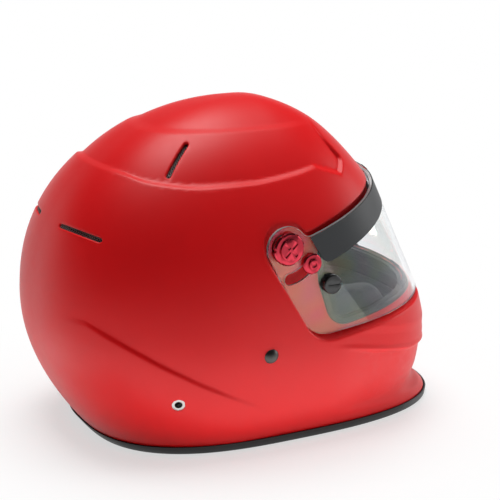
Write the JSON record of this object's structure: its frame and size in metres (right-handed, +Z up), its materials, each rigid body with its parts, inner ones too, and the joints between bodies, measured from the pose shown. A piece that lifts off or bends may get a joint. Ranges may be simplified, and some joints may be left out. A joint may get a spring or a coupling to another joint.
{
  "type": "auto racing helmet",
  "caption": "Full-face auto racing helmet with a hinged clear visor, a padded lining, a chin strap with sliding rings and threaded inserts for a head restraint.",
  "frame": {"origin": "middle of the helmet's length and width, on the table that its edge trim rests on", "axes": "+Z up, the wearer faces -Y, the wearer's right is -X, Y is the longest extent, X the shortest"},
  "size_m": [0.2558, 0.3506, 0.2678],
  "materials": {
    "shell_paint": "red paint under clear lacquer on a fibre composite shell",
    "trim_rubber": "smooth black extruded rubber",
    "seal_rubber": "soft black rubber",
    "liner_foam": "dark grey energy absorbing bead foam",
    "lining_cloth": "dark fire resistant knitted cloth over foam",
    "visor_clear": "clear polished polycarbonate",
    "strip_dark": "matte dark grey film",
    "strap_webbing": "black woven webbing",
    "bare_steel": "bare steel",
    "anodised_red": "red anodised turned aluminium",
    "black_plastic": "black moulded plastic",
    "bare_metal": "plain turned aluminium",
    "post_black": "polished black plastic",
    "rivet_dark": "dark coated steel",
    "insert_dark": "dark steel",
    "mesh_dark": "fine dark mesh"
  },
  "bodies": {
    "shell": {"outer_shell": "shell_paint", "bottom_edge_trim": "trim_rubber", "eye_port_gasket": "seal_rubber", "impact_liner": "liner_foam", "comfort_liner": "lining_cloth", "chin_liner": "lining_cloth", "neck_roll": "lining_cloth", "chin_strap_long_right": "strap_webbing", "chin_strap_short_left": "strap_webbing", "cheek_pad_left": "lining_cloth", "cheek_pad_right": "lining_cloth", "pivot_cap_left": "anodised_red", "pivot_cap_right": "anodised_red", "pivot_spacer_left": "black_plastic", "pivot_spacer_right": "black_plastic", "pivot_insert_left": "bare_metal", "pivot_insert_right": "bare_metal", "detent_post_left": "anodised_red", "detent_post_right": "anodised_red", "detent_insert_left": "bare_metal", "detent_insert_right": "bare_metal", "strap_rivet_left": "rivet_dark", "strap_rivet_right": "rivet_dark", "strap_anchor_plate_left": "bare_steel", "strap_anchor_plate_right": "bare_steel", "tether_insert_left": "insert_dark", "tether_insert_right": "insert_dark", "crown_vent_mesh_left": "mesh_dark", "crown_vent_mesh_right": "mesh_dark", "rear_vent_mesh_left": "mesh_dark", "rear_vent_mesh_right": "mesh_dark"},
    "visor": {"visor": "visor_clear", "visor_top_strip": "strip_dark", "tearoff_nut_left": "bare_metal", "tearoff_nut_right": "bare_metal"},
    "tearoff_post_left": {"tearoff_post_left": "post_black"},
    "tearoff_post_right": {"tearoff_post_right": "post_black"},
    "d_ring_inner": {"d_ring_inner": "bare_steel"},
    "d_ring_outer": {"d_ring_outer": "bare_steel"}
  },
  "joints": [
    {"name": "visor_lift", "type": "hinge", "parent": "shell", "child": "visor", "pos_m": [0, 0.0084, 0.1655], "axis": [-1, 0, 0], "range_deg": [0, 50]},
    {"name": "tearoff_turn_left", "type": "hinge", "parent": "visor", "child": "tearoff_post_left", "pos_m": [0.116, -0.0308, 0.1327], "axis": [1, 0, 0], "range_deg": [0, 180]},
    {"name": "tearoff_turn_right", "type": "hinge", "parent": "visor", "child": "tearoff_post_right", "pos_m": [-0.116, -0.0308, 0.1327], "axis": [-1, 0, 0], "range_deg": [0, 180]},
    {"name": "d_ring_inner_swing", "type": "hinge", "parent": "shell", "child": "d_ring_inner", "pos_m": [0.0948, 0.0268, 0.038], "axis": [0, 1, 0], "range_deg": [0, 60]},
    {"name": "d_ring_outer_swing", "type": "hinge", "parent": "shell", "child": "d_ring_outer", "pos_m": [0.1012, 0.0268, 0.038], "axis": [0, 1, 0], "range_deg": [0, 7]}
  ]
}
